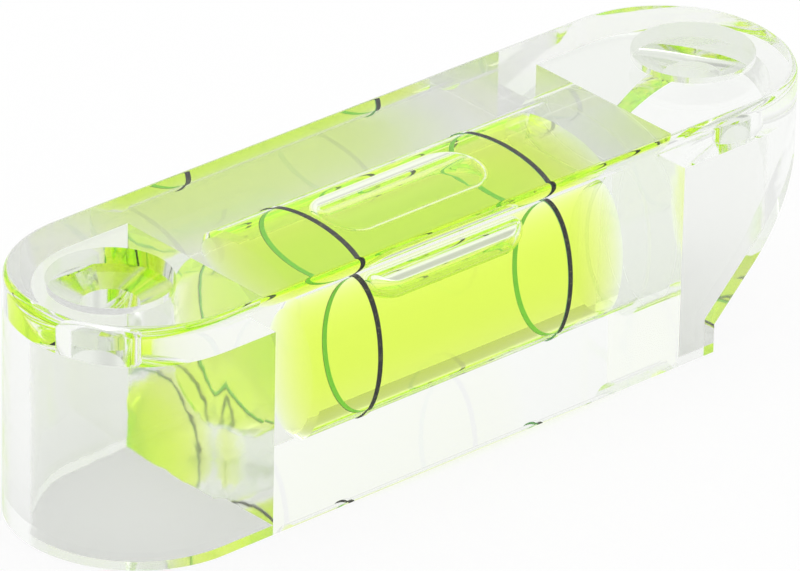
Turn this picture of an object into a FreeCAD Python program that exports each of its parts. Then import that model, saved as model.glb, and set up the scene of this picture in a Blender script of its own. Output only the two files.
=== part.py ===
"""Block spirit-level vial: a clear moulded block with a plugged bore, rings, spirit and a bubble.

Frame: +Z up, +X along the vial, origin at the middle of the underside. Millimetres.
The plug closes the bore at the +X end. The bubble is the only piece that moves.
"""

import FreeCAD, Part
import math
import os

import Sketcher

# The driving sizes: alias, value (mm, or degrees for the angle), meaning.
SIZES = [
    ("body_length", 55.0, "overall length, ear tip to ear tip"),
    ("body_width", 15.0, "overall width, and twice the radius of each rounded end"),
    ("body_height", 15.0, "overall height"),
    ("top_edge_radius", 0.3, "rounding of the top edge"),
    ("skirt_wall", 1.6, "wall of the skirt below each ear"),
    ("ear_thickness", 2.8, "thickness of the screw ears"),
    ("left_face_reach", 15.7, "middle to the end face of the solid part, blind end"),
    ("right_face_reach", 15.2, "middle to the end face of the solid part, plug end"),
    ("foot_reach", 17.2, "middle to the step where the plug-end skirt is cut away"),
    ("foot_step_height", 1.8, "height of that step, where the sloping cut begins"),
    ("foot_cut_angle", 45.0, "slope of the cut from the step up to the ear"),
    ("screw_spacing", 44.0, "between the two screw axes"),
    ("screw_hole_diameter", 3.4, "clearance hole of the screw"),
    ("head_recess_diameter", 7.25, "recess for the screw head"),
    ("head_recess_depth", 1.6, "depth of that recess"),
    ("bore_diameter", 8.8, "bore that holds the spirit"),
    ("bore_axis_height", 7.2, "underside to the bore's axis"),
    ("bore_blind_reach", 12.0, "middle to the blind end of the bore"),
    ("bore_blind_chamfer", 0.5, "bevel round the blind end"),
    ("plug_seat_diameter", 9.9, "wider mouth of the bore, where the plug's flange sits"),
    ("plug_seat_depth", 2.0, "depth of that mouth"),
    ("plug_nose_length", 1.9, "plug's nose beyond its flange"),
    ("plug_clearance", 0.02, "gap all round the plug"),
    ("ring_offset", 7.2, "middle to the centre of each graduation ring"),
    ("ring_width", 0.35, "width of the ring grooves along the bore"),
    ("ring_depth", 0.1, "depth of the ring grooves"),
    ("ring_clearance", 0.01, "gap round each ring"),
    ("spirit_clearance", 0.02, "gap between the spirit and what holds it"),
    ("bubble_length", 11.8, "length of the bubble"),
    ("bubble_width", 7.2, "width of the bubble's outline, before the bore trims it"),
    ("bubble_offset", -0.66, "bubble's centre along the bore, minus towards the blind end"),
    ("bubble_depth", 1.75, "top of the bore down to the bubble's flat belly"),
    ("bubble_edge_radius", 1.2, "rounding of the belly's edge"),
    ("bubble_film", 0.1, "film of spirit between the bubble and the bore"),
    ("bubble_clearance", 0.05, "gap between the bubble and the spirit"),
    ("cut_overrun", 1.0, "how far a cutting outline runs past the edge it clears"),
]

doc = FreeCAD.newDocument("block_level_vial")
sheet = doc.addObject("Spreadsheet::Sheet", "Sizes")
for row, (alias, value, meaning) in enumerate(SIZES, start=1):
    sheet.set(f"A{row}", alias)
    sheet.set(f"B{row}", str(value))
    sheet.set(f"C{row}", meaning)
    sheet.setAlias(f"B{row}", alias)
doc.recompute()

# Sizes that follow from others, each written once as an expression.
END_CENTRE = "(Sizes.body_length - Sizes.body_width) / 2"
SKIRT_INNER_RADIUS = "Sizes.body_width / 2 - Sizes.skirt_wall"
EAR_UNDERSIDE = "Sizes.body_height - Sizes.ear_thickness"
BORE_RADIUS = "Sizes.bore_diameter / 2"
BORE_TOP = "Sizes.bore_axis_height + Sizes.bore_diameter / 2"
SEAT_TOP = "Sizes.bore_axis_height + Sizes.plug_seat_diameter / 2"
SEAT_FACE = "Sizes.right_face_reach - Sizes.plug_seat_depth"
PLUG_NOSE_FACE = f"{SEAT_FACE} - Sizes.plug_nose_length"


# ---- Helpers ----

def new_body(label):
    """A body whose label is its node's name."""
    body = doc.addObject("PartDesign::Body", label)
    body.Label = label
    body.Placement = FreeCAD.Placement()
    return body


def new_sketch(body, name, role, lift=None):
    """A sketch on one of the body's own origin planes, lifted along its normal by an expression."""
    sketch = body.newObject("Sketcher::SketchObject", name)
    planes = [item for item in body.Origin.OriginFeatures if item.Role == role]
    sketch.AttachmentSupport = [(planes[0], "")]
    sketch.MapMode = "FlatFace"
    if lift:
        sketch.setExpression("AttachmentOffset.Base.z", lift)
    return sketch


def bind(sketch, kind, *where, to):
    """Add a dimension with its value taken from an expression."""
    index = sketch.addConstraint(Sketcher.Constraint(kind, *where))
    sketch.setExpression(f"Constraints[{index}]", to)


def place_point(sketch, edge, end, across, up, near):
    """Hold one point of an edge at two expressions from the sketch's origin."""
    for kind, axis, expression, start in (("DistanceX", -2, across, near[0]),
                                          ("DistanceY", -1, up, near[1])):
        if expression == "0":
            sketch.addConstraint(Sketcher.Constraint("PointOnObject", edge, end, axis))
        else:
            bind(sketch, kind, -1, 1, edge, end, start, to=expression)


def polygon(sketch, corners):
    """A closed outline through corners, each a pair of expressions.

    The edges start as a regular polygon, and the dimensions draw them to their places.
    """
    count = len(corners)
    turn = 2 * math.pi / count
    near = [(math.cos(k * turn), math.sin(k * turn)) for k in range(count)]
    points = [FreeCAD.Vector(x, y, 0) for x, y in near]
    edges = [
        sketch.addGeometry(Part.LineSegment(points[k], points[(k + 1) % count]), False)
        for k in range(count)
    ]
    for k in range(count):
        sketch.addConstraint(
            Sketcher.Constraint("Coincident", edges[k], 2, edges[(k + 1) % count], 1))
        place_point(sketch, edges[k], 1, *corners[k], near[k])


def axis_line(sketch, height):
    """A construction line along the sketch's horizontal at a height, for turning about."""
    line = Part.LineSegment(FreeCAD.Vector(0, 1, 0), FreeCAD.Vector(1, 1, 0))
    edge = sketch.addGeometry(line, True)
    sketch.addConstraint(Sketcher.Constraint("Horizontal", edge))
    sketch.addConstraint(Sketcher.Constraint("PointOnObject", edge, 1, -2))
    bind(sketch, "DistanceX", edge, 1, edge, 2, 1.0, to="1 mm")
    bind(sketch, "DistanceY", -1, 1, edge, 1, 1.0, to=height)


def rounded_end(sketch, side, centre, radius, start):
    """A half circle that bulges towards side (-1 or +1) about a centre on the horizontal."""
    middle = FreeCAD.Vector(side * start, 0, 0)
    turn = math.pi / 2 if side < 0 else -math.pi / 2
    circle = Part.Circle(middle, FreeCAD.Vector(0, 0, 1), 1.0)
    arc = sketch.addGeometry(Part.ArcOfCircle(circle, turn, turn + math.pi), False)
    sketch.addConstraint(Sketcher.Constraint("PointOnObject", arc, 3, -1))
    bind(sketch, "DistanceX", -1, 1, arc, 3, middle.x, to=centre)
    bind(sketch, "Radius", arc, 1.0, to=radius)
    return arc


def obround(sketch, left_centre, right_centre, radius):
    """A straight-sided outline with a half circle at each end."""
    left = rounded_end(sketch, -1, left_centre, radius, 3.0)
    right = rounded_end(sketch, 1, right_centre, radius, 3.0)
    top = sketch.addGeometry(
        Part.LineSegment(FreeCAD.Vector(3, 1, 0), FreeCAD.Vector(-3, 1, 0)), False)
    bottom = sketch.addGeometry(
        Part.LineSegment(FreeCAD.Vector(-3, -1, 0), FreeCAD.Vector(3, -1, 0)), False)
    for one, its_end, other, other_end in (
            (top, 2, left, 1), (left, 2, bottom, 1), (bottom, 2, right, 1), (right, 2, top, 1)):
        sketch.addConstraint(Sketcher.Constraint("Tangent", one, its_end, other, other_end))


def end_bay(sketch, side, centre, radius, face):
    """The outline inside one end's skirt: a half circle closed by a straight end face."""
    arc = rounded_end(sketch, side, centre, radius, 3.0)
    first = FreeCAD.Vector(side * 3, -side, 0)
    last = FreeCAD.Vector(side * 3, side, 0)
    near_first = FreeCAD.Vector(side, -side, 0)
    near_last = FreeCAD.Vector(side, side, 0)
    arrive = sketch.addGeometry(Part.LineSegment(near_first, first), False)
    leave = sketch.addGeometry(Part.LineSegment(last, near_last), False)
    close = sketch.addGeometry(Part.LineSegment(near_last, near_first), False)
    sketch.addConstraint(Sketcher.Constraint("Tangent", arrive, 2, arc, 1))
    sketch.addConstraint(Sketcher.Constraint("Tangent", arc, 2, leave, 1))
    sketch.addConstraint(Sketcher.Constraint("Coincident", leave, 2, close, 1))
    sketch.addConstraint(Sketcher.Constraint("Coincident", close, 2, arrive, 1))
    sketch.addConstraint(Sketcher.Constraint("Vertical", close))
    sketch.addConstraint(Sketcher.Constraint("Horizontal", arrive))
    sketch.addConstraint(Sketcher.Constraint("Horizontal", leave))
    bind(sketch, "DistanceX", -1, 1, close, 1, float(side), to=face)


def circle(sketch, across, up, radius):
    """A circle about a point given by two expressions."""
    middle = FreeCAD.Vector(1, 1, 0)
    edge = sketch.addGeometry(Part.Circle(middle, FreeCAD.Vector(0, 0, 1), 1.0), False)
    place_point(sketch, edge, 3, across, up, (middle.x, middle.y))
    bind(sketch, "Radius", edge, 1.0, to=radius)


def add(body, kind, name, sketch):
    """A feature on a sketch."""
    feature = body.newObject(kind, name)
    feature.Profile = sketch
    sketch.Visibility = False
    return feature


def must_cut(body, before):
    """Recompute, and refuse a cut that took nothing away."""
    doc.recompute()
    after = body.Shape.Volume
    if not after < before:
        raise RuntimeError(f"the last cut in {body.Label} removed nothing")
    return after


def revolve(body, kind, name, sketch):
    """A full turn of a sketch about its own construction line."""
    feature = add(body, kind, name, sketch)
    feature.ReferenceAxis = (sketch, ["Axis0"])
    feature.Angle = 360
    return feature


def edges_at_height(shape, height):
    """Names of the edges that lie flat at one height."""
    return [
        f"Edge{index}"
        for index, edge in enumerate(shape.Edges, start=1)
        if all(abs(vertex.Z - height) < 1e-6 for vertex in edge.Vertexes)
    ]


# ---- acrylic_body: the clear block, its ears, skirts, screw holes and bore ----

block = new_body("acrylic_body")

outline = new_sketch(block, "BlockOutline", "XY_Plane")
obround(outline, f"-({END_CENTRE})", END_CENTRE, "Sizes.body_width / 2")
slab = add(block, "PartDesign::Pad", "BlockPad", outline)
slab.setExpression("Length", "Sizes.body_height")
doc.recompute()

top_rounding = block.newObject("PartDesign::Fillet", "TopRounding")
top_rounding.Base = (slab, edges_at_height(slab.Shape, slab.Length.Value))
top_rounding.setExpression("Radius", "Sizes.top_edge_radius")
doc.recompute()
volume = block.Shape.Volume

# The bays under the ears open downwards and leave the skirt and the ear.
for side, name, face in ((-1, "LeftBay", "-Sizes.left_face_reach"),
                         (1, "RightBay", "Sizes.right_face_reach")):
    bay_outline = new_sketch(block, f"{name}Outline", "XY_Plane")
    centre = END_CENTRE if side > 0 else f"-({END_CENTRE})"
    end_bay(bay_outline, side, centre, SKIRT_INNER_RADIUS, face)
    bay = add(block, "PartDesign::Pocket", name, bay_outline)
    bay.Reversed = True
    bay.setExpression("Length", EAR_UNDERSIDE)
    volume = must_cut(block, volume)

# The plug-end skirt is cut away by a step and a slope that runs out past the ear's tip.
past_tip = "Sizes.body_length / 2 + Sizes.cut_overrun"
slope_end = f"Sizes.foot_step_height + ({past_tip} - Sizes.foot_reach) * tan(Sizes.foot_cut_angle)"
below = "-Sizes.cut_overrun"
foot_outline = new_sketch(block, "FootOutline", "XZ_Plane")
polygon(foot_outline, [
    ("Sizes.foot_reach", below),
    (past_tip, below),
    (past_tip, slope_end),
    ("Sizes.foot_reach", "Sizes.foot_step_height"),
])
foot = add(block, "PartDesign::Pocket", "FootCut", foot_outline)
foot.Type = "ThroughAll"
foot.SideType = "Symmetric"
volume = must_cut(block, volume)

screw_centres = new_sketch(block, "ScrewCentres", "XY_Plane", "Sizes.body_height")
for across in ("-Sizes.screw_spacing / 2", "Sizes.screw_spacing / 2"):
    circle(screw_centres, across, "0", "Sizes.screw_hole_diameter / 2")
doc.recompute()
screws = add(block, "PartDesign::Hole", "ScrewHoles", screw_centres)
screws.ThreadType = "None"
screws.DepthType = "ThroughAll"
screws.HoleCutType = "Counterbore"
screws.HoleCutCustomValues = True
screws.setExpression("Diameter", "Sizes.screw_hole_diameter")
screws.setExpression("HoleCutDiameter", "Sizes.head_recess_diameter")
screws.setExpression("HoleCutDepth", "Sizes.head_recess_depth")
volume = must_cut(block, volume)

# One turned profile makes the bevelled blind end, both ring grooves, the bore and the plug's seat.
blind = "-Sizes.bore_blind_reach"
groove_top = f"{BORE_TOP} + Sizes.ring_depth"
bore_profile = new_sketch(block, "BoreProfile", "XZ_Plane")
corners = [
    (blind, "Sizes.bore_axis_height"),
    (blind, f"{BORE_TOP} - Sizes.bore_blind_chamfer"),
    (f"{blind} + Sizes.bore_blind_chamfer", BORE_TOP),
]
for ring_centre in ("-Sizes.ring_offset", "Sizes.ring_offset"):
    near_edge = f"{ring_centre} - Sizes.ring_width / 2"
    far_edge = f"{ring_centre} + Sizes.ring_width / 2"
    corners.append((near_edge, BORE_TOP))
    corners.append((near_edge, groove_top))
    corners.append((far_edge, groove_top))
    corners.append((far_edge, BORE_TOP))
corners += [
    (SEAT_FACE, BORE_TOP),
    (SEAT_FACE, SEAT_TOP),
    ("Sizes.right_face_reach + Sizes.cut_overrun", SEAT_TOP),
    ("Sizes.right_face_reach + Sizes.cut_overrun", "Sizes.bore_axis_height"),
]
polygon(bore_profile, corners)
axis_line(bore_profile, "Sizes.bore_axis_height")
bore = revolve(block, "PartDesign::Groove", "Bore", bore_profile)
volume = must_cut(block, volume)


# ---- end_plug: a flange and a nose, turned about the bore's axis ----

plug = new_body("end_plug")
nose_top = f"{BORE_TOP} - Sizes.plug_clearance"
flange_top = f"{SEAT_TOP} - Sizes.plug_clearance"
flange_back = f"{SEAT_FACE} + Sizes.plug_clearance"
plug_profile = new_sketch(plug, "PlugProfile", "XZ_Plane")
polygon(plug_profile, [
    (PLUG_NOSE_FACE, "Sizes.bore_axis_height"),
    (PLUG_NOSE_FACE, nose_top),
    (flange_back, nose_top),
    (flange_back, flange_top),
    ("Sizes.right_face_reach", flange_top),
    ("Sizes.right_face_reach", "Sizes.bore_axis_height"),
])
axis_line(plug_profile, "Sizes.bore_axis_height")
revolve(plug, "PartDesign::Revolution", "PlugTurning", plug_profile)


# ---- ring_left, ring_right: coloured rings in the bore's grooves ----

for label, ring_centre in (("ring_left", "-Sizes.ring_offset"), ("ring_right", "Sizes.ring_offset")):
    ring = new_body(label)
    ring_outline = new_sketch(ring, f"{label}_outline", "YZ_Plane")
    circle(ring_outline, "0", "Sizes.bore_axis_height",
           f"{BORE_RADIUS} + Sizes.ring_depth - Sizes.ring_clearance")
    circle(ring_outline, "0", "Sizes.bore_axis_height", BORE_RADIUS)
    band = add(ring, "PartDesign::Pad", f"{label}_band", ring_outline)
    band.SideType = "Symmetric"
    band.setExpression("Length", "Sizes.ring_width - 2 * Sizes.ring_clearance")
    ring.setExpression("Placement.Base.x", ring_centre)


# ---- bubble and vial_fluid: one rounded form makes the bubble and the hollow it lies in ----

def bubble_form(name, grow):
    """The bubble before the bore trims it: an obround slab with a rounded lower edge."""
    form = new_body(name)
    end_centre = "(Sizes.bubble_length - Sizes.bubble_width) / 2"
    form_outline = new_sketch(form, f"{name}_outline", "XY_Plane",
                              f"{BORE_TOP} - Sizes.bubble_depth - {grow}")
    obround(form_outline, f"Sizes.bubble_offset - {end_centre}",
            f"Sizes.bubble_offset + {end_centre}", f"Sizes.bubble_width / 2 + {grow}")
    form_slab = add(form, "PartDesign::Pad", f"{name}_slab", form_outline)
    form_slab.setExpression("Length", "Sizes.bubble_depth + Sizes.cut_overrun")
    doc.recompute()
    floor = form_slab.Shape.BoundBox.ZMin
    edge_rounding = form.newObject("PartDesign::Fillet", f"{name}_edge")
    edge_rounding.Base = (form_slab, edges_at_height(form_slab.Shape, floor))
    edge_rounding.setExpression("Radius", f"Sizes.bubble_edge_radius + {grow}")
    return form


trim = doc.addObject("Part::Cylinder", "BubbleTrim")
trim.Placement.Rotation = FreeCAD.Rotation(FreeCAD.Vector(0, 1, 0), 90)
trim.setExpression("Radius", f"{BORE_RADIUS} - Sizes.bubble_film")
trim.setExpression("Height", "2 * Sizes.bore_blind_reach")
trim.setExpression("Placement.Base.x", "-Sizes.bore_blind_reach")
trim.setExpression("Placement.Base.z", "Sizes.bore_axis_height")
bubble = doc.addObject("Part::Common", "bubble")
bubble.Label = "bubble"
bubble.Base = bubble_form("BubbleForm", "0")
bubble.Tool = trim

fill = new_body("SpiritFill")
fill_top = f"{BORE_TOP} - Sizes.spirit_clearance"
fill_left = f"{blind} + Sizes.spirit_clearance"
fill_right = f"{PLUG_NOSE_FACE} - Sizes.spirit_clearance"
fill_profile = new_sketch(fill, "SpiritProfile", "XZ_Plane")
polygon(fill_profile, [
    (fill_left, "Sizes.bore_axis_height"),
    (fill_left, f"{fill_top} - Sizes.bore_blind_chamfer"),
    (f"{fill_left} + Sizes.bore_blind_chamfer", fill_top),
    (fill_right, fill_top),
    (fill_right, "Sizes.bore_axis_height"),
])
axis_line(fill_profile, "Sizes.bore_axis_height")
revolve(fill, "PartDesign::Revolution", "SpiritTurning", fill_profile)
fluid = doc.addObject("Part::Cut", "vial_fluid")
fluid.Label = "vial_fluid"
fluid.Base = fill
fluid.Tool = bubble_form("BubbleHollow", "Sizes.bubble_clearance")
doc.recompute()


# ---- Check every object, then write one file per node ----

NODES = ["acrylic_body", "end_plug", "ring_left", "ring_right", "vial_fluid", "bubble"]

for item in doc.Objects:
    failed = {"Invalid", "Error"} & set(item.State)
    if failed:
        raise RuntimeError(f"{item.Label} is {sorted(failed)}")

os.makedirs("parts", exist_ok=True)
for node in NODES:
    shape = doc.getObjectsByLabel(node)[0].Shape
    if shape.isNull() or not shape.isValid():
        raise RuntimeError(f"{node} has no valid shape")
    shape.exportStep(f"parts/{node}.step")
    print(f"{node}: {shape.Volume:.2f} mm3, {len(shape.Solids)} solid, {shape.BoundBox}")
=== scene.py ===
"""Block spirit-level vial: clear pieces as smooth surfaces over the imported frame, finishes and stage.

Lengths are metres. X runs along the vial to the plugged end, Z is up, the underside is at Z = 0.
"""

import math

import bpy
import numpy as np
from bpy.props import FloatProperty, FloatVectorProperty, IntProperty, PointerProperty
from mathutils import Matrix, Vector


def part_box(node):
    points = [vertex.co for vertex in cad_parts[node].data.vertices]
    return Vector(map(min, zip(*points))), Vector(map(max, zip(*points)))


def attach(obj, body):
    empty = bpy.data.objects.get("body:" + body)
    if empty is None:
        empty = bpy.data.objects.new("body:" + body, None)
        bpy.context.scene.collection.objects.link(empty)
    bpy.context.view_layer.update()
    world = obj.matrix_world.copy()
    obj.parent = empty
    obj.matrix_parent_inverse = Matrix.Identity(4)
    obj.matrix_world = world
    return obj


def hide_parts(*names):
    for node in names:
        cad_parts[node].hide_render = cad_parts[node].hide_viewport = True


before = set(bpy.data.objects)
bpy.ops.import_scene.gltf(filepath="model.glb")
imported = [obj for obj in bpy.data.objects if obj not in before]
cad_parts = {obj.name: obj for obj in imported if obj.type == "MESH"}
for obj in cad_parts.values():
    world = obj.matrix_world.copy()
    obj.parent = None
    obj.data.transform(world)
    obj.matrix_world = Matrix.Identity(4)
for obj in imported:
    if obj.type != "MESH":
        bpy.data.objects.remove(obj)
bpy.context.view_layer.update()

bl_info = {
    "name": "Block Level Vial",
    "version": (1, 0, 0),
    "blender": (4, 5, 0),
    "location": "View3D > Sidebar > Level Vial",
    "description": "Clear block vial with a plugged bore, rings, spirit and a bubble",
    "category": "Add Mesh",
}

MM = 0.001
BLOCK_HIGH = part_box("acrylic_body")[1]
PLUG_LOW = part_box("end_plug")[0]
SPIRIT_LOW, SPIRIT_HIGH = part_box("vial_fluid")
BUBBLE_LOW, BUBBLE_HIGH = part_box("bubble")

UP, DOWN = (0.0, 0.0, 1.0), (0.0, 0.0, -1.0)
POINTS_PER_METRE = 1.0e8    # Points that round to the same place on this grid are one
SLACK = 1.0e-9              # Lengths this close are the same
HALVINGS = 60               # Enough to settle a length to the last digit
LONGEST_PATH = 64           # Light turns round inside the block many times before it leaves

# Features in a metre of the noise in the haze, the ring's paint and the floor.
HAZE_GRAIN, PAINT_GRAIN, PAPER_GRAIN = 900.0, 9000.0, 300.0
LEAST_HAZE = 0.4            # Share of a face's haze that is there where it is clearest

# The block's material slots: faces on air, on spirit, unpolished, on cement, and drilled. The
# unpolished and drilled faces carry a darker tint, painted shade.
CLEAR, ON_SPIRIT, MOULDED, ON_CEMENT, DRILLED = range(5)


# ---- Values for the panel ----

def length(name, default, description, least=0.0):
    """A size or a place along the vial, in metres."""
    return FloatProperty(name=name, default=default, description=description,
                         min=least, unit="LENGTH", subtype="DISTANCE", precision=5)


def amount(name, default, description, most=10000.0):
    """A plain number from zero up."""
    return FloatProperty(name=name, default=default, description=description, min=0.0, max=most,
                         precision=4)


def index(name, default, description):
    """A refractive index."""
    return FloatProperty(name=name, default=default, description=description, min=1.0, max=3.0)


def colour(name, default, description):
    """A linear colour."""
    return FloatVectorProperty(name=name, default=default, description=description,
                               subtype="COLOR", size=3, min=0.0, max=1.0)


def count(name, default, description, least):
    """A whole number of steps or rows."""
    return IntProperty(name=name, default=default, min=least, description=description)


class VialBlockSizes(bpy.types.PropertyGroup):
    """Sizes of the clear block."""

    end_centre: length("End centre", float(BLOCK_HIGH[0] - BLOCK_HIGH[1]),
                       "Middle to the axis of each rounded end")
    half_width: length("Half width", float(BLOCK_HIGH[1]),
                       "Half the block's width, the radius of its rounded ends")
    height: length("Height", float(BLOCK_HIGH[2]), "Underside to top")
    edge_radius: length("Top rounding", 0.55 * MM, "Rounding of the top edge")
    skirt_wall: length("Skirt wall", 1.6 * MM, "Wall of the skirt below each ear")
    ear_thickness: length("Ear thickness", 2.8 * MM, "Thickness of the screw ears")
    left_face: length("Blind-end face", 15.7 * MM, "Middle to the end face at the blind end")
    right_face: length("Plug-end face", 15.2 * MM, "Middle to the end face at the plug end")
    foot_reach: length("Foot reach", 17.2 * MM, "Middle to the step of the cut skirt")
    foot_step: length("Foot step", 1.8 * MM, "Height of the step")
    screw_reach: length("Screw reach", 22.0 * MM, "Middle to each screw axis")
    recess_radius: length("Recess radius", 3.625 * MM, "Radius of the screw-head recess")
    recess_wall: length("Recess wall", 1.0 * MM, "Height of the recess's wall, above its shallow cone")
    recess_depth: length("Recess depth", 1.6 * MM, "Depth of the screw-head recess at the hole")
    hole_radius: length("Hole radius", 1.7 * MM, "Radius of the screw hole")


class VialBoreSizes(bpy.types.PropertyGroup):
    """Sizes of the bore and of what lies in it."""

    axis_height: length("Axis height", 7.2 * MM, "Underside to the bore's axis")
    radius: length("Bore radius", 4.4 * MM, "Radius of the bore")
    blind_reach: length("Blind reach", 12.0 * MM, "Middle to the blind end")
    blind_chamfer: length("Blind bevel", 0.5 * MM, "Bevel round the blind end")
    seat_radius: length("Seat radius", 4.95 * MM, "Radius of the plug's seat")
    seat_face: length("Seat face", 13.2 * MM, "Middle to the seat's inner face")
    ring_reach: length("Ring reach", 7.2 * MM, "Middle to each graduation ring")
    ring_width: length("Ring width", 0.35 * MM, "Width of the ring grooves")
    ring_depth: length("Ring depth", 0.1 * MM, "Depth of the ring grooves")
    plug_gap: length("Plug gap", 0.02 * MM, "Gap round the plug")
    plug_nose: length("Plug nose", float(PLUG_LOW[0]), "Middle to the plug's inner face")


class VialBubbleSizes(bpy.types.PropertyGroup):
    """Sizes of the bubble."""

    left_end: length("Left end", float(BUBBLE_LOW[0]), "End towards the blind end", least=-1.0)
    right_end: length("Right end", float(BUBBLE_HIGH[0]), "End towards the plug", least=-1.0)
    half_width: length("Half width", 3.6 * MM, "Half the width of the bubble's outline")
    floor: length("Belly height", float(BUBBLE_LOW[2]), "Underside of the block to the belly")
    edge_radius: length("Edge radius", 1.2 * MM, "Rounding of the belly's edge")
    top_radius: length("Top radius", 4.3 * MM, "Radius of the back, which follows the bore")
    rim_radius: length("Rim radius", 0.6 * MM, "Rounding where the belly meets the back")


class VialColours(bpy.types.PropertyGroup):
    """Colours of the vial and its floor."""

    acrylic: colour("Acrylic", (0.960, 0.973, 0.952), "Tint of the clear acrylic")
    # Painted shade: the end and bay faces under the ears are tinted darker than the clear acrylic.
    moulded_painted_shade: colour("Moulded faces", (0.885, 0.90, 0.865), "Tint of the unpolished end and bay faces")
    # Painted shade: the recesses and holes are tinted darker grey-green, where shade falls in them.
    drilled_painted_shade: colour("Drilled faces", (0.70, 0.75, 0.65), "Tint of the screw recesses and holes")
    air: colour("Air", (1.0, 1.0, 1.0), "Tint of the bubble")
    spirit: colour("Spirit", (0.935, 0.999, 0.20), "Colour that the spirit lets through")
    # Painted light: colour of the spirit's faint glow, an emission though the spirit is no lamp.
    painted_dye_glow: colour("Spirit's shine", (0.72, 1.0, 0.16), "Faint light that the dye gives off")
    ring_dark: colour("Ring outside", (0.003, 0.005, 0.001), "Rings seen from outside the bore")
    ring_crack: colour("Ring cracks", (0.22, 0.26, 0.06), "Specks where the paint has cracked")
    # Painted light: the rings' inner face, lighter green as if lit through the spirit.
    ring_painted_lit_inside: colour("Ring inside", (0.28, 0.80, 0.42), "Rings seen through the spirit")
    floor: colour("Floor", (0.92, 0.92, 0.92), "Colour of the floor")
    floor_fleck: colour("Floor flecks", (0.9062, 0.9062, 0.9062), "Second colour in the floor's grain")
    # Painted light: a yellow-green pool painted on the floor under the bore.
    painted_floor_glow: colour("Glow", (0.80, 1.0, 0.36), "Light that the spirit throws on the floor below it")


class VialFinish(bpy.types.PropertyGroup):
    """How the pieces bend, scatter and take up light."""

    acrylic_index: index("Acrylic's index", 1.49, "Refractive index of the acrylic")
    cement_index: index("Cement's index", 1.42, "Refractive index of the cement round the plug")
    spirit_index: index("Spirit's index", 1.43, "Refractive index of the spirit")
    spirit_density: amount("Spirit density", 330.0, "How fast the spirit colours light, per metre")
    # Painted light: strength of the spirit's painted glow.
    painted_dye_glow_strength: amount("Shine strength", 0.045, "Strength of the light that the dye gives off")
    polished_haze: amount("Polished haze", 0.012, "Most roughness of the polished faces", 1.0)
    moulded_haze: amount("Moulded haze", 0.10, "Most roughness of the end and bay faces", 1.0)
    drilled_haze: amount("Drilled haze", 0.12, "Most roughness of the recesses and holes", 1.0)
    polished_ripple: length("Polished ripple", 0.0004 * MM, "Height of the polished faces' ripple")
    moulded_ripple: length("Moulded ripple", 0.012 * MM, "Height of the moulded faces' ripple")
    polished_ripples: amount("Polished ripples", 160.0, "Ripples of the polished faces in a metre")
    moulded_ripples: amount("Moulded ripples", 900.0, "Ripples of the moulded faces in a metre")


class VialStage(bpy.types.PropertyGroup):
    """Light, background and camera."""

    seen_white: amount("Floor's white", 0.88, "Share of plain white in the floor as seen", 1.0)
    glass_white: amount("White in glass", 0.5, "Share of plain light in the floor through glass", 1.0)
    horizon: amount("Horizon", 0.8, "Brightness of the sky at the horizon", 1.0)
    white_height: amount("White height", 0.45, "Height in the sky, 0 to 1, from which it is white", 1.0)
    card: amount("Dark card", 0.58, "Brightness in the middle of the dark card in the sky", 1.0)
    lamp_power: amount("Lamp", 0.45, "Power of the lamp overhead, in watts")
    lens: amount("Lens", 469.9, "Focal length of the camera, in millimetres")


class VialDetail(bpy.types.PropertyGroup):
    """How finely the surfaces are cut."""

    turn_steps: count("Steps in a turn", 180, "Segments round a full circle", 24)
    rounding_rows: count("Rounding rows", 9, "Rows over the rounding of the top edge", 3)
    bubble_rows: count("Bubble rows", 24, "Rows over each of the bubble's belly, rim and back", 6)
    bubble_stops: count("Bubble stops", 13, "Points along each straight side, ends and all", 3)


# ---- Surfaces ----

def unit(vectors):
    """Each vector over its own length."""
    return vectors / np.linalg.norm(vectors, axis=-1, keepdims=True)


def looped(points):
    """The points of a closed curve, with the first again at the end."""
    return np.vstack([points, points[:1]])


def at_height(plan, height):
    """Lift (x, y) points, or a grid of them, to a height: one number or one each."""
    return np.concatenate([plan, np.broadcast_to(height, plan.shape[:-1])[..., None]], axis=-1)


def patch(points, normals, slot=CLEAR):
    """A grid of points with a normal at each, both (rows, columns, 3), and a material slot."""
    points = np.asarray(points, dtype=float)
    return points, np.broadcast_to(np.asarray(normals, dtype=float), points.shape), slot


def ruled(first, last, normal, slot=CLEAR):
    """P(u, v) = (1 - v) first(u) + v last(u): straight lines between two matched curves."""
    return patch(np.stack([first, last]), normal, slot)


def wall(plan, normals, heights, outwards=1.0, slot=CLEAR):
    """P(u, v) = (x(u), y(u), z(v)): an upright wall over a plan curve through rows of heights.

    The plan's normals, times outwards, give the way that the wall faces.
    """
    rows = np.stack([at_height(plan, height) for height in heights])
    return patch(rows, outwards * at_height(normals, 0.0), slot)


def zipped(inner, outer, centre, axes, normal, slot=CLEAR, early=0.5):
    """The flat ring between two closed curves that both go once round a centre.

    The inner curve's points are met in the order of their angle about the centre, and each outer
    point early, by a share of the turn from the outer point before it. A straight line joins the
    points last met on the two: P(u, v) = (1 - v) inner(i(u)) + v outer(o(u)).
    """
    def by_angle(loop, lead):
        across, up = (loop[:, axis] - centre[k] for k, axis in enumerate(axes))
        angle = np.arctan2(up, across)
        order = np.argsort(angle, kind="stable")
        loop, angle = loop[order], angle[order]
        met = angle - lead * ((angle - np.roll(angle, 1)) % (2 * np.pi))
        met = (met + np.pi) % (2 * np.pi) - np.pi
        order = np.argsort(met, kind="stable")
        return loop[order], met[order]

    inner, inner_met = by_angle(inner, 0.0)
    outer, outer_met = by_angle(outer, early)
    met = np.sort(np.concatenate([inner_met, outer_met]))
    first = inner[np.searchsorted(inner_met, met, side="right") - 1]
    last = outer[np.searchsorted(outer_met, met, side="right") - 1]
    return ruled(looped(first), looped(last), normal, slot)


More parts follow.
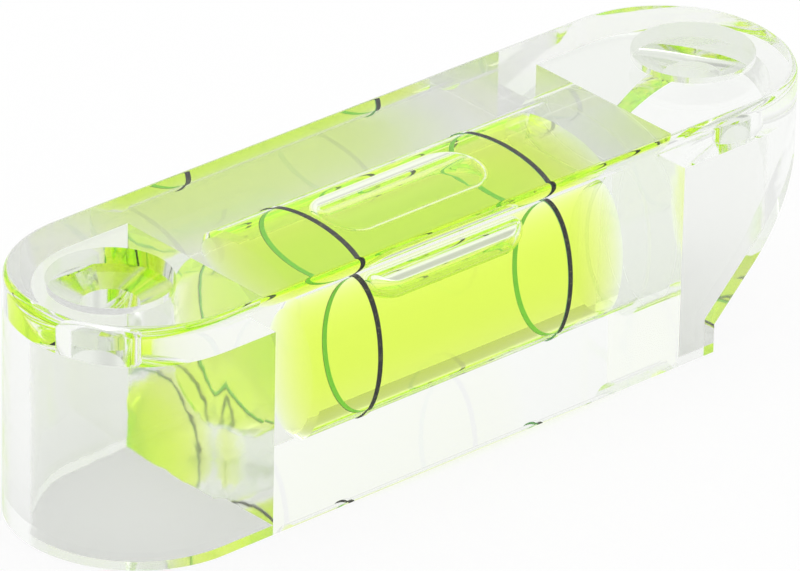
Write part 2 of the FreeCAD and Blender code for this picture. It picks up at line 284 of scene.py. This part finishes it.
def turned(profile, axis_height, steps, slots, outwards=1.0):
    """P(u, v) = (x(v), r(v) sin u, axis + r(v) cos u): each straight run of a profile, turned.

    profile is (x, r) pairs. The normal leans with its run, to the run's left, times outwards.
    """
    turn = np.linspace(0.0, 2 * np.pi, steps + 1)
    turn[-1] = 0.0
    around = np.stack([np.zeros_like(turn), np.sin(turn), np.cos(turn)], axis=-1)
    along = np.array([1.0, 0.0, 0.0])
    base = np.array([0.0, 0.0, axis_height])
    patches = []
    for (x0, r0), (x1, r1), slot in zip(profile[:-1], profile[1:], slots):
        ends = np.array([[x0, r0], [x1, r1]])
        points = base + ends[:, :1, None] * along + ends[:, 1:, None] * around
        lean = outwards * np.array([r0 - r1, x1 - x0]) / math.hypot(x1 - x0, r1 - r0)
        patches.append(patch(points, lean[0] * along + lean[1] * around, slot))
    return patches


def closed_mesh(name, patches, materials):
    """One mesh from many grids, each point kept once, with the exact normal at each corner.

    Cells that fold to a line are left out, and a cell whose face looks against its own normals is
    turned round. The result must be closed: each edge belongs to exactly two faces.
    """
    points = np.vstack([p.reshape(-1, 3) for p, _, _ in patches])
    normals = np.vstack([n.reshape(-1, 3) for _, n, _ in patches])
    cells, slots, start = [], [], 0
    for grid, _, slot in patches:
        at = start + np.arange(grid.shape[0] * grid.shape[1]).reshape(grid.shape[:2])
        cell = np.stack([at[:-1, :-1], at[:-1, 1:], at[1:, 1:], at[1:, :-1]], axis=-1)
        cells.append(cell.reshape(-1, 4))
        slots.append(np.full(len(cells[-1]), slot))
        start += at.size
    cells, slots = np.vstack(cells), np.concatenate(slots)

    _, keep, same = np.unique(np.round(points * POINTS_PER_METRE).astype(np.int64), axis=0,
                              return_index=True, return_inverse=True)
    merged = same.reshape(-1)[cells]
    spread = points[cells]
    facing = np.cross(spread[:, 2] - spread[:, 0], spread[:, 3] - spread[:, 1])
    against = np.einsum("ij,ij->i", facing, normals[cells].sum(axis=1)) < 0
    cells[against], merged[against] = cells[against][:, ::-1], merged[against][:, ::-1]
    fresh = merged != np.roll(merged, 1, axis=1)
    corners = fresh.sum(axis=1)
    whole = corners >= 3
    cells, merged, fresh, slots, corners = (a[whole] for a in (cells, merged, fresh, slots, corners))
    corner_point, corner_normal = merged[fresh], unit(normals[cells[fresh]])
    begin = np.concatenate([[0], np.cumsum(corners)[:-1]])

    following = np.arange(len(corner_point)) + 1
    following[begin + corners - 1] = begin
    edges = np.sort(np.stack([corner_point, corner_point[following]], axis=-1), axis=1)
    _, uses = np.unique(edges, axis=0, return_counts=True)
    if not np.all(uses == 2):
        raise RuntimeError(f"{name} is not closed: {np.sum(uses != 2)} edges")

    mesh = bpy.data.meshes.new(name)
    mesh.vertices.add(len(keep))
    mesh.vertices.foreach_set("co", points[keep].astype(np.float32).ravel())
    mesh.loops.add(len(corner_point))
    mesh.loops.foreach_set("vertex_index", corner_point.astype(np.int32))
    mesh.polygons.add(len(corners))
    mesh.polygons.foreach_set("loop_start", begin.astype(np.int32))
    mesh.polygons.foreach_set("loop_total", corners.astype(np.int32))
    mesh.polygons.foreach_set("material_index", slots.astype(np.int32))
    mesh.update(calc_edges=True)
    mesh.validate()
    mesh.shade_smooth()
    mesh.normals_split_custom_set(corner_normal.astype(np.float32))
    for material in materials:
        mesh.materials.append(material)
    piece = bpy.data.objects.new(name, mesh)
    bpy.context.scene.collection.objects.link(piece)
    return piece


# ---- Nodes ----

def feed(tree, socket, value):
    """Join an output to a socket, or give the socket a constant."""
    if isinstance(value, bpy.types.NodeSocket):
        tree.links.new(value, socket)
    else:
        socket.default_value = value


def add(tree, kind, inputs=None, **settings):
    """A new node: its settings, and a constant or another node's output for each input."""
    node = tree.nodes.new(kind)
    for name, value in settings.items():
        setattr(node, name, value)
    for name, value in (inputs or {}).items():
        feed(tree, node.inputs[name], value)
    return node


def maths(tree, operation, first, second):
    """Two numbers put together by an operation."""
    return add(tree, "ShaderNodeMath", {0: first, 1: second}, operation=operation).outputs[0]


def vectors(tree, operation, first, second=(0.0, 0.0, 0.0)):
    """Two vectors put together by an operation that gives a vector, or a dot product or length."""
    node = add(tree, "ShaderNodeVectorMath", {0: first, 1: second}, operation=operation)
    return node.outputs["Value" if operation in ("DOT_PRODUCT", "LENGTH") else "Vector"]


def noise(tree, place, scale, detail=4.0):
    """Noise over the piece's own coordinates, scale in features per metre."""
    return add(tree, "ShaderNodeTexNoise",
               {"Scale": scale, "Detail": detail, "Vector": place}).outputs[0]


def ranged(tree, value, before, after, way="LINEAR"):
    """A value mapped from one (low, high) range to another."""
    names = ("From Min", "From Max", "To Min", "To Max")
    inputs = {"Value": value, **dict(zip(names, (*before, *after)))}
    return add(tree, "ShaderNodeMapRange", inputs, interpolation_type=way).outputs[0]


def solid(tint):
    """A colour with full cover, as a colour socket takes it."""
    return (*tint, 1.0)


def mixed(tree, share, first, second):
    """Two colours mixed by the share of the second."""
    return add(tree, "ShaderNodeMixRGB", {"Fac": share, "Color1": first, "Color2": second}).outputs[0]


def new_material(name):
    """A node material, its tree, its shader and its Object coordinates."""
    material = bpy.data.materials.new(name)
    material.use_nodes = True
    tree = material.node_tree
    place = add(tree, "ShaderNodeTexCoord").outputs["Object"]
    return material, tree, tree.nodes["Principled BSDF"], place


# ---- Finishes ----

def clear_material(name, tint, bend, haze, ripple, ripples):
    """A clear face: uneven handling haze, and a faint ripple of the flow in the mould."""
    material, tree, shader, place = new_material(name)
    # For the moulded and drilled faces the tint is darker: painted shade under the ears and in the
    # recesses.
    shader.inputs["Base Color"].default_value = solid(tint)
    shader.inputs["IOR"].default_value = bend
    shader.inputs["Transmission Weight"].default_value = 1.0
    grime = ranged(tree, noise(tree, place, HAZE_GRAIN), (0.0, 1.0), (LEAST_HAZE * haze, haze))
    feed(tree, shader.inputs["Roughness"], grime)
    bump = add(tree, "ShaderNodeBump", {"Strength": 1.0, "Distance": ripple,
                                        "Height": noise(tree, place, ripples, 1.0)})
    feed(tree, shader.inputs["Normal"], bump.outputs[0])
    return material


def polished(name, scene, tint, bend):
    """A clear face as smooth as the mould leaves it."""
    finish = scene.vial_finish
    return clear_material(name, tint, bend, finish.polished_haze,
                          finish.polished_ripple, finish.polished_ripples)


def acrylic(name, scene, beyond=1.0):
    """Polished acrylic with air beyond its face, or something with an index of its own."""
    return polished(name, scene, scene.vial_colours.acrylic, scene.vial_finish.acrylic_index / beyond)


def spirit_material(colours, finish):
    """Spirit: it does not bend light itself, because the bore's wall does, and colours it by depth.

    It also gives off a faint yellow-green glow: painted light, an emission though the spirit is no
    lamp.
    """
    material, tree, shader, _ = new_material("spirit_green")
    shader.inputs["Base Color"].default_value = (1.0, 1.0, 1.0, 1.0)
    shader.inputs["IOR"].default_value = 1.0
    shader.inputs["Roughness"].default_value = 0.0
    shader.inputs["Transmission Weight"].default_value = 1.0
    # Painted light: a faint yellow-green emission that lightens the spirit.
    shader.inputs["Emission Color"].default_value = solid(colours.painted_dye_glow)
    shader.inputs["Emission Strength"].default_value = finish.painted_dye_glow_strength
    depth = add(tree, "ShaderNodeVolumeAbsorption",
                {"Color": solid(colours.spirit), "Density": finish.spirit_density})
    feed(tree, tree.nodes["Material Output"].inputs["Volume"], depth.outputs[0])
    return material


def ring_material(colours, axis_height):
    """Ring paint: dark outside with fine cracks; the face towards the axis is painted a lighter green,
    painted light as if lit through the spirit.
    """
    material, tree, shader, place = new_material("ring_paint")
    shader.inputs["Roughness"].default_value = 0.7
    shader.inputs["Specular IOR Level"].default_value = 0.1
    from_axis = vectors(tree, "SUBTRACT", place, (0.0, 0.0, axis_height))
    normal = add(tree, "ShaderNodeNewGeometry").outputs["Normal"]
    inside = maths(tree, "LESS_THAN", vectors(tree, "DOT_PRODUCT", from_axis, normal), 0.0)
    whole, cracked = 0.60, 0.68
    cracks = ranged(tree, noise(tree, place, PAINT_GRAIN, 2.0), (whole, cracked), (0.0, 1.0))
    outer = mixed(tree, cracks, solid(colours.ring_dark), solid(colours.ring_crack))
    # Faces towards the axis take the painted lit green; the rest keep the dark paint and its cracks.
    feed(tree, shader.inputs["Base Color"], mixed(tree, inside, outer, solid(colours.ring_painted_lit_inside)))
    return material


def put(piece, body, slot, *nodes):
    """Let a piece ride on its body and stand for its nodes, which are hidden."""
    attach(piece, body)
    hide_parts(*nodes)


# ---- The clear block ----

class HalfBlock:
    """One half of the clear block, from its middle to one rounded end: all but the bore."""

    def __init__(self, side, sizes, bore, detail):
        self.side, self.sizes, self.bore, self.detail = side, sizes, bore, detail
        self.face = sizes.right_face if side > 0 else sizes.left_face
        self.bay_radius = sizes.half_width - sizes.skirt_wall
        self.shoulder = sizes.height - sizes.edge_radius
        self.underside = sizes.height - sizes.ear_thickness
        self.hole_x = side * sizes.screw_reach
        cut_stops = [self.face, sizes.foot_reach] if side > 0 else []
        self.plan, self.normals = self.outline(sizes.half_width, [0.0, *cut_stops])
        self.bay, self.bay_normals = self.outline(self.bay_radius, cut_stops or [self.face])

    def outline(self, radius, stops):
        """Half an obround outline of a radius, from one straight side round the end to the other.

        The straight sides keep to the given stops; the end is centre + radius (cos a, sin a), a
        from 90 to -90 degrees. Gives the points as (x, y) and their outward normals.
        """
        end_centre = self.sizes.end_centre
        angle = np.linspace(np.pi / 2, -np.pi / 2, self.detail.turn_steps // 2 + 1)
        level = np.zeros((len(stops), 2)) + (0.0, 1.0)
        normals = np.vstack([level, np.stack([np.cos(angle), np.sin(angle)], axis=-1), -level])
        x = np.concatenate([stops, end_centre + radius * np.cos(angle), stops[::-1]])
        x[np.abs(x - end_centre) < SLACK] = end_centre
        plan = np.stack([self.side * x, radius * normals[:, 1]], axis=-1)
        return plan, normals * (self.side, 1.0)

    def patches(self):
        """Every surface of this half, from the outer walls in and from the top down."""
        return [
            *self.skirt(self.plan, self.normals, 1.0, self.shoulder, CLEAR),
            *self.skirt(self.bay, self.bay_normals, -1.0, self.underside, MOULDED),
            *self.top(),
            *self.recess(),
            self.end_face(),
            *self.foot(),
        ]

    def past_step(self, points):
        """Which plan points lie past the step of the cut skirt."""
        return self.side * points[:, 0] >= self.sizes.foot_reach - SLACK

    def slope(self, points):
        """Height of the sloping cut over plan points."""
        past = self.side * points[:, 0] - self.sizes.foot_reach
        return self.sizes.foot_step + np.maximum(past, 0.0)

    def skirt(self, points, facing, outwards, high, slot):
        """A wall up to a height, whose foot is level, or is cut by the step and the slope."""
        levels = (0.0, self.sizes.foot_step, high)
        if self.side < 0:
            return [wall(points, facing, levels, outwards, slot)]
        first = int(np.argmax(self.past_step(points)))
        last = len(points) - first
        near = (slice(0, first + 1), slice(last - 1, len(points)))
        far = slice(first, last)
        heights = (self.slope(points[far]), high)
        return [*(wall(points[part], facing[part], levels, outwards, slot) for part in near),
                wall(points[far], facing[far], heights, outwards, slot)]

    def circle(self, radius, height):
        """A level circle of points about the screw's axis."""
        turn = np.linspace(0.0, 2 * np.pi, self.detail.turn_steps, endpoint=False)
        plan = np.column_stack([self.hole_x + radius * np.cos(turn), radius * np.sin(turn)])
        return at_height(plan, height)

    def top(self):
        """The rounding of the top edge, and the flat top round the recess.

        The rounding leans from level to upright by an angle a: it stands at shoulder + r sin a, and
        draws the outline in by r (1 - cos a).
        """
        sizes, normals = self.sizes, self.normals[None]
        lean = np.linspace(0.0, np.pi / 2, self.detail.rounding_rows)[:, None]
        inset = sizes.edge_radius * (1 - np.cos(lean))
        rise = self.shoulder + sizes.edge_radius * np.sin(lean)
        rounding = at_height(self.plan[None] - inset[..., None] * normals, rise)
        facing = at_height(np.cos(lean)[..., None] * normals, np.sin(lean))
        rim = self.circle(sizes.recess_radius, sizes.height)
        return [patch(rounding, facing), zipped(rim, rounding[-1], (self.hole_x, 0.0), (0, 1), UP)]

    def recess(self):
        """The recess's wall, its shallow cone, the hole's wall and the ear's underside."""
        sizes = self.sizes
        rings = [looped(self.circle(radius, height)) for radius, height in (
            (sizes.recess_radius, sizes.height),
            (sizes.recess_radius, sizes.height - sizes.recess_wall),
            (sizes.hole_radius, sizes.height - sizes.recess_depth),
            (sizes.hole_radius, self.underside),
        )]
        inward = unit((rings[0] - (self.hole_x, 0.0, sizes.height)) * (-1.0, -1.0, 0.0))
        fall, run = sizes.recess_depth - sizes.recess_wall, sizes.recess_radius - sizes.hole_radius
        cone = unit(inward * fall + np.array([0.0, 0.0, run]))
        walls = [ruled(high, low, normal, DRILLED)
                 for high, low, normal in zip(rings[:-1], rings[1:], (inward, cone, inward))]
        hole = self.circle(sizes.hole_radius, self.underside)
        bay = at_height(self.bay, self.underside)
        return [*walls, zipped(hole, bay, (self.hole_x, 0.0), (0, 1), DOWN)]

    def end_face(self):
        """The upright end face over the bay, with the bore's mouth in it at the plug end."""
        reach, half, bore = self.side * self.face, self.bay_radius, self.bore
        levels = (0.0, self.sizes.foot_step, self.underside)
        outward = (float(self.side), 0.0, 0.0)
        grid = np.array([[[reach, y, z] for y in (-half, half)] for z in levels])
        if self.side < 0:
            return patch(grid, outward, MOULDED)
        turn = np.linspace(0.0, 2 * np.pi, self.detail.turn_steps, endpoint=False)
        mouth = np.column_stack([np.full(len(turn), reach), bore.seat_radius * np.sin(turn),
                                 bore.axis_height + bore.seat_radius * np.cos(turn)])
        edge = grid.reshape(-1, 3)
        return zipped(mouth, edge, (0.0, bore.axis_height), (1, 2), outward, MOULDED)

    def foot(self):
        """The underside round the bay, and the step and slope of the cut skirt."""
        sizes, face, cut = self.sizes, self.face, self.sizes.foot_reach
        outer, inner = sizes.half_width, self.bay_radius
        if self.side < 0:
            return [zipped(at_height(self.bay, 0.0), at_height(self.plan, 0.0),
                           (self.side * sizes.end_centre, 0.0), (0, 1), DOWN, early=0.0)]

        # The middle of the underside has two corners at X = 0 and four points where the bay begins.
        middle = np.array([[0.0, y, 0.0] for y in (-outer, -outer, outer, outer)])
        bay = np.array([[face, y, 0.0] for y in (-outer, -inner, inner, outer)])
        made = [ruled(middle, bay, DOWN)]
        for sign in (-1, 1):
            across = (sign * inner, sign * outer)
            level = np.array([[[x, y, 0.0] for x in (face, cut)] for y in across])
            riser = np.array([[[cut, y, z] for y in across] for z in (0.0, sizes.foot_step)])
            made += [patch(level, DOWN), patch(riser, (1.0, 0.0, 0.0))]
        past, bay_past = (points[self.past_step(points)] for points in (self.plan, self.bay))
        sloping = unit(np.array([1.0, 0.0, -1.0]))
        made.append(ruled(at_height(bay_past, self.slope(bay_past)),
                          at_height(past, self.slope(past)), sloping))
        return made


class VIAL_OT_block(bpy.types.Operator):
    """Make the clear block with its ears, skirts, recesses and bore"""

    bl_idname = "vial.block"
    bl_label = "Clear Block"

    def execute(self, context):
        scene = context.scene
        sizes, bore, detail = scene.vial_block, scene.vial_bore, scene.vial_detail
        colours, finish = scene.vial_colours, scene.vial_finish
        patches = []
        for side in (-1, 1):
            patches += HalfBlock(side, sizes, bore, detail).patches()
        patches += self.bore_wall(sizes, bore, detail)
        materials = [
            acrylic("acrylic_clear", scene),
            acrylic("acrylic_against_spirit", scene, finish.spirit_index),
            # The moulded faces' darker tint is painted shade under the ears; their haze and ripple are
            # the real moulded finish.
            clear_material("acrylic_moulded_painted_shade", colours.moulded_painted_shade, finish.acrylic_index,
                           finish.moulded_haze, finish.moulded_ripple, finish.moulded_ripples),
            acrylic("acrylic_against_cement", scene, finish.cement_index),
            # The drilled faces' darker tint is painted shade in the recesses and hole; their haze is
            # the real frosted finish.
            clear_material("acrylic_drilled_painted_shade", colours.drilled_painted_shade, finish.acrylic_index,
                           finish.drilled_haze, finish.polished_ripple, finish.polished_ripples),
        ]
        piece = closed_mesh("block_clear", patches, materials)
        put(piece, "vial", "clear_acrylic", "acrylic_body")
        return {"FINISHED"}

    def bore_wall(self, sizes, bore, detail):
        """The bore from its blind end to its mouth, with the ring grooves and the plug's seat."""
        radius, groove, half = bore.radius, bore.radius + bore.ring_depth, bore.ring_width / 2
        profile = [(-bore.blind_reach, 0.0), (-bore.blind_reach, radius - bore.blind_chamfer),
                   (-bore.blind_reach + bore.blind_chamfer, radius)]
        for x in (-bore.ring_reach, bore.ring_reach):
            profile += [(x - half, radius), (x - half, groove),
                        (x + half, groove), (x + half, radius)]
        seat = [(bore.seat_face, radius), (bore.seat_face, bore.seat_radius),
                (sizes.right_face, bore.seat_radius)]
        profile += [(bore.plug_nose, radius), *seat]
        slots = [ON_SPIRIT] * (len(profile) - 1 - len(seat)) + [ON_CEMENT] * len(seat)
        return turned(profile, bore.axis_height, detail.turn_steps, slots, outwards=-1.0)


# ---- What lies in the bore ----

class VIAL_OT_plug(bpy.types.Operator):
    """Make the clear plug that closes the bore"""

    bl_idname = "vial.plug"
    bl_label = "End Plug"

    def execute(self, context):
        scene = context.scene
        bore, finish = scene.vial_bore, scene.vial_finish
        nose, back, face = bore.plug_nose, bore.seat_face + bore.plug_gap, scene.vial_block.right_face
        small, large = bore.radius - bore.plug_gap, bore.seat_radius - bore.plug_gap
        profile = [(nose, 0.0), (nose, small), (back, small),
                   (back, large), (face, large), (face, 0.0)]
        materials = [
            acrylic("plug_clear", scene),
            acrylic("plug_against_spirit", scene, finish.spirit_index),
            acrylic("plug_against_cement", scene, finish.cement_index),
        ]
        # The plug's own material slots.
        clear, on_spirit, on_cement = range(3)
        slots = [on_spirit, on_cement, on_cement, on_cement, clear]
        patches = turned(profile, bore.axis_height, scene.vial_detail.turn_steps, slots)
        piece = closed_mesh("plug_clear", patches, materials)
        put(piece, "vial", "plug_acrylic", "end_plug")
        return {"FINISHED"}


class VIAL_OT_spirit(bpy.types.Operator):
    """Fill the bore with spirit"""

    bl_idname = "vial.spirit"
    bl_label = "Spirit"

    def execute(self, context):
        scene = context.scene
        bore = scene.vial_bore
        left, right = float(SPIRIT_LOW[0]), float(SPIRIT_HIGH[0])
        radius = float(SPIRIT_HIGH[1])
        profile = [(left, 0.0), (left, radius - bore.blind_chamfer),
                   (left + bore.blind_chamfer, radius), (right, radius), (right, 0.0)]
        slots = [CLEAR] * (len(profile) - 1)
        patches = turned(profile, bore.axis_height, scene.vial_detail.turn_steps, slots)
        piece = closed_mesh("spirit_fill", patches, [
            spirit_material(scene.vial_colours, scene.vial_finish)])
        put(piece, "vial", "spirit", "vial_fluid")
        return {"FINISHED"}


class VIAL_OT_bubble(bpy.types.Operator):
    """Make the bubble under the top of the bore"""

    bl_idname = "vial.bubble"
    bl_label = "Bubble"

    def execute(self, context):
        scene = context.scene
        sizes, detail, axis = scene.vial_bubble, scene.vial_detail, scene.vial_bore.axis_height
        middle, away = self.spine(sizes, detail)
        share = np.linspace(0.0, 1.0, detail.bubble_rows)[:, None]

        # The belly, from the middle line out to the rim.
        out, up, sway, rise = self.belly(sizes, share * self.rim_start(sizes, axis, away)[None])
        lower = at_height(middle + out[..., None] * away, up)
        lower_normal = at_height(sway[..., None] * away, rise)

        # The rim is the rolling ball's arc between the two points where it touches.
        ball, first = sizes.rim_radius, lower_normal[-1]
        centre = lower[-1] - ball * first
        last = unit((centre - (0.0, 0.0, axis)) * (0.0, 1.0, 1.0))
        wide = np.arccos(np.clip(np.sum(first * last, axis=-1), -1.0, 1.0))[None, :, None]
        part = share[..., None]
        rim_normal = (np.sin((1 - part) * wide) * first + np.sin(part * wide) * last) / np.sin(wide)
        rim = centre + ball * rim_normal
        rim[0] = lower[-1]

        # The back, from the rim in to the middle line, on its own circle about the bore's axis.
        start = rim[-1, :, :2]
        plan = middle + (1 - part) * (start - middle)
        arch = np.sqrt(sizes.top_radius ** 2 - plan[..., 1] ** 2)
        upper = at_height(plan, axis + arch)
        upper[0] = rim[-1]
        upper_normal = unit(at_height(plan * (0.0, 1.0), arch))

        patches = [patch(lower, lower_normal), patch(rim, rim_normal), patch(upper, upper_normal)]
        air = polished("bubble_air", scene, scene.vial_colours.air, 1 / scene.vial_finish.spirit_index)
        piece = closed_mesh("bubble_air", patches, [air])
        put(piece, "bubble", "air", "bubble")
        return {"FINISHED"}

    def spine(self, sizes, detail):
        """The bubble's middle line and the level directions away from it, once round.

        The middle runs between the two end centres; directions turn half a circle about each end.
        """
        left, right = sizes.left_end + sizes.half_width, sizes.right_end - sizes.half_width
        turn = np.linspace(np.pi / 2, -np.pi / 2, detail.turn_steps // 2 + 1)
        run = np.linspace(left, right, detail.bubble_stops)[1:-1]
        level = np.zeros((len(run), 2)) + (0.0, 1.0)
        end = np.stack([np.cos(turn), np.sin(turn)], axis=-1)
        away = np.vstack([level, end, -level, -end, level[:1]])
        away[np.abs(away) < SLACK] = 0.0
        x = np.concatenate([run, np.full(len(turn), right), run[::-1],
                            np.full(len(turn), left), run[:1]])
        return np.column_stack([x, np.zeros_like(x)]), away

    def belly(self, sizes, run):
        """Distance out, height, and normal (out, up) at a run along the belly's profile.

        The profile is level, then a quarter turn of the edge's radius, then upright.
        """
        edge = sizes.edge_radius
        flat = sizes.half_width - edge
        turn = np.clip((run - flat) / edge, 0.0, np.pi / 2)
        out = np.minimum(run, flat) + edge * np.sin(turn)
        upright = np.maximum(run - flat - edge * np.pi / 2, 0.0)
        up = sizes.floor + edge * (1 - np.cos(turn)) + upright
        return out, up, np.sin(turn), -np.cos(turn)

    def rim_start(self, sizes, axis, away):
        """How far along the belly's profile the rim begins, in each direction from the middle.

        A ball rolls round the rim inside the bubble, touching the belly and the back. Its centre is
        where the two surfaces, both drawn inwards by its radius, cross. It is found by halving.
        """
        ball, edge = sizes.rim_radius, sizes.edge_radius
        longest = sizes.half_width - edge + edge * np.pi / 2 + 2 * edge
        low, high = np.zeros(len(away)), np.full(len(away), longest)
        for _ in range(HALVINGS):
            run = (low + high) / 2
            out, up, sway, rise = self.belly(sizes, run)
            across = away[:, 1] * (out - ball * sway)
            back = axis + np.sqrt((sizes.top_radius - ball) ** 2 - across ** 2)
            below = up - ball * rise < back
            low, high = np.where(below, run, low), np.where(below, high, run)
        return run


class VIAL_OT_rings(bpy.types.Operator):
    """Finish the two graduation rings"""

    bl_idname = "vial.rings"
    bl_label = "Graduation Rings"

    def execute(self, context):
        material = ring_material(context.scene.vial_colours, context.scene.vial_bore.axis_height)
        for name in ("ring_left", "ring_right"):
            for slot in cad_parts[name].material_slots:
                slot.material = material
        return {"FINISHED"}


# ---- Stage ----

class VIAL_OT_stage(bpy.types.Operator):
    """Set the floor, the light and the camera"""

    bl_idname = "vial.stage"
    bl_label = "Stage"

    def execute(self, context):
        scene = context.scene
        self.floor(scene)
        self.sky(scene)
        self.lamp(scene)
        self.camera(scene)
        scene.view_settings.view_transform = "Standard"
        for kind in ("max", "transmission", "glossy"):
            setattr(scene.cycles, f"{kind}_bounces", LONGEST_PATH)
        return {"FINISHED"}

    def floor(self, scene):
        """A wide sheet of paper, a hair below the underside so that the two never coincide."""
        half, drop = 3.0, 0.05 * MM
        corners = [(x * half, y * half, -drop) for x, y in ((-1, -1), (1, -1), (1, 1), (-1, 1))]
        mesh = bpy.data.meshes.new("floor")
        mesh.from_pydata(corners, [], [(0, 1, 2, 3)])
        floor = bpy.data.objects.new("floor", mesh)
        scene.collection.objects.link(floor)
        material, tree, shader, place = new_material("floor_paper")
        shader.inputs["Roughness"].default_value = 1.0
        shader.inputs["Specular IOR Level"].default_value = 0.0
        colours = scene.vial_colours
        grain = noise(tree, place, PAPER_GRAIN)
        feed(tree, shader.inputs["Base Color"],
             mixed(tree, grain, solid(colours.floor), solid(colours.floor_fleck)))
        # Painted light: the floor's white turns to a painted yellow-green glow under the bore.
        white_and_painted_glow = self.painted_floor_glow(tree, place, scene)
        lifted = self.lift(tree, shader.outputs["BSDF"], white_and_painted_glow, scene.vial_stage)
        feed(tree, tree.nodes["Material Output"].inputs["Surface"], lifted)
        mesh.materials.append(material)

    def painted_floor_glow(self, tree, place, scene):
        """White, turning under the bore to a painted yellow-green glow: painted light, a pool standing
        in for the light the spirit throws on the floor, where only glass looks on to it.

        The glow fades in a smooth step over the length of ((x / reach)^2, (y / half width)^2),
        which makes it a rounded oblong.
        """
        reach = (scene.vial_bore.seat_face, scene.vial_block.half_width, 1.0)
        spread = vectors(tree, "DIVIDE", place, reach)
        away = vectors(tree, "LENGTH", vectors(tree, "MULTIPLY", spread, spread))
        full, gone = 0.25, 1.25
        fade = ranged(tree, away, (full, gone), (1.0, 0.0), "SMOOTHSTEP")
        return mixed(tree, fade, (1.0, 1.0, 1.0, 1.0), solid(scene.vial_colours.painted_floor_glow))

    def lift(self, tree, shaded, white_and_painted_glow, stage):
        """Blend a shader with plain light, white with the painted glow under the bore, by one share for
        the camera and one through the glass.
        """
        path = add(tree, "ShaderNodeLightPath").outputs
        seen = maths(tree, "MULTIPLY", path["Is Camera Ray"], stage.seen_white)
        bent = maths(tree, "MAXIMUM", path["Is Glossy Ray"], path["Is Transmission Ray"])
        through = maths(tree, "MULTIPLY", bent, stage.glass_white)
        share = maths(tree, "MAXIMUM", seen, through)
        # The emission is the plain white with the painted glow under the bore.
        plain = add(tree, "ShaderNodeEmission", {"Color": white_and_painted_glow}).outputs[0]
        return add(tree, "ShaderNodeMixShader", {0: share, 1: shaded, 2: plain}).outputs[0]

    def sky(self, scene):
        """A pale studio: white above, greyer at the horizon, a soft dark card on the far side."""
        stage = scene.vial_stage
        world = bpy.data.worlds.new("studio")
        world.use_nodes = True
        scene.world = world
        tree = world.node_tree
        way = add(tree, "ShaderNodeTexCoord").outputs["Generated"]
        height = add(tree, "ShaderNodeSeparateXYZ", {"Vector": way}).outputs["Z"]
        studio = ranged(tree, height, (0.0, stage.white_height), (stage.horizon, 1.0))
        card_way, card_edge = (0.62, 0.45, 0.645), 0.964
        nearness = vectors(tree, "DOT_PRODUCT", way, card_way)
        card = ranged(tree, nearness, (card_edge, 1.0), (1.0, stage.card), "SMOOTHSTEP")
        background = tree.nodes["Background"]
        feed(tree, background.inputs["Color"], maths(tree, "MULTIPLY", studio, card))
        background.inputs["Strength"].default_value = 1.0

    def lamp(self, scene):
        """One broad soft lamp overhead."""
        light = bpy.data.lights.new("overhead", "AREA")
        light.energy = scene.vial_stage.lamp_power
        light.shape = "RECTANGLE"
        light.size, light.size_y = 0.5, 0.3
        lamp = bpy.data.objects.new("overhead", light)
        lamp.location = (0.05, 0.1, 0.6)
        scene.collection.objects.link(lamp)

    def camera(self, scene):
        """A long lens with a slight roll, looking down at the block past its blind end's corner."""
        turn, rise, roll = math.radians(-42.346), math.radians(27.826), math.radians(1.209)
        target, distance = np.array([-0.428, 0.0, 7.224]) * MM, 591.2 * MM
        back = np.array([math.sin(turn) * math.cos(rise), -math.cos(turn) * math.cos(rise),
                         math.sin(rise)])
        across = np.array([math.cos(turn), math.sin(turn), 0.0])
        up = np.cross(back, across)
        right = math.cos(roll) * across + math.sin(roll) * up
        above = math.cos(roll) * up - math.sin(roll) * across
        place = target + distance * back
        data = bpy.data.cameras.new("camera")
        data.lens = scene.vial_stage.lens
        data.sensor_width = 36.0
        data.clip_start, data.clip_end = 0.01, 20.0
        camera = bpy.data.objects.new("camera", data)
        rows = np.column_stack([right, above, back, place])
        camera.matrix_world = Matrix([*rows.tolist(), [0.0, 0.0, 0.0, 1.0]])
        scene.collection.objects.link(camera)
        scene.camera = camera


# ---- Panel and registration ----

class VIAL_PT_panel(bpy.types.Panel):
    """Lists the vial's values and operators"""

    bl_idname = "VIAL_PT_panel"
    bl_label = "Level Vial"
    bl_space_type = "VIEW_3D"
    bl_region_type = "UI"
    bl_category = "Level Vial"

    def draw(self, context):
        for group in GROUPS:
            box = self.layout.box()
            values = getattr(context.scene, group)
            for name in values.__annotations__:
                box.prop(values, name)
        for operator in OPERATORS:
            self.layout.operator(operator.bl_idname)


GROUPS = {
    "vial_block": VialBlockSizes,
    "vial_bore": VialBoreSizes,
    "vial_bubble": VialBubbleSizes,
    "vial_colours": VialColours,
    "vial_finish": VialFinish,
    "vial_stage": VialStage,
    "vial_detail": VialDetail,
}
OPERATORS = (VIAL_OT_block, VIAL_OT_plug, VIAL_OT_rings, VIAL_OT_spirit, VIAL_OT_bubble,
             VIAL_OT_stage)
CLASSES = (*GROUPS.values(), *OPERATORS, VIAL_PT_panel)


def register():
    """Add the groups, the operators and the panel to Blender."""
    for kind in CLASSES:
        bpy.utils.register_class(kind)
    for name, kind in GROUPS.items():
        setattr(bpy.types.Scene, name, PointerProperty(type=kind))


def unregister():
    """Take away what register adds."""
    for name in GROUPS:
        delattr(bpy.types.Scene, name)
    for kind in reversed(CLASSES):
        bpy.utils.unregister_class(kind)


def main():
    """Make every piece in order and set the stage."""
    register()
    bpy.ops.vial.block()
    bpy.ops.vial.plug()
    bpy.ops.vial.rings()
    bpy.ops.vial.spirit()
    bpy.ops.vial.bubble()
    bpy.ops.vial.stage()


if __name__ == "__main__":
    main()
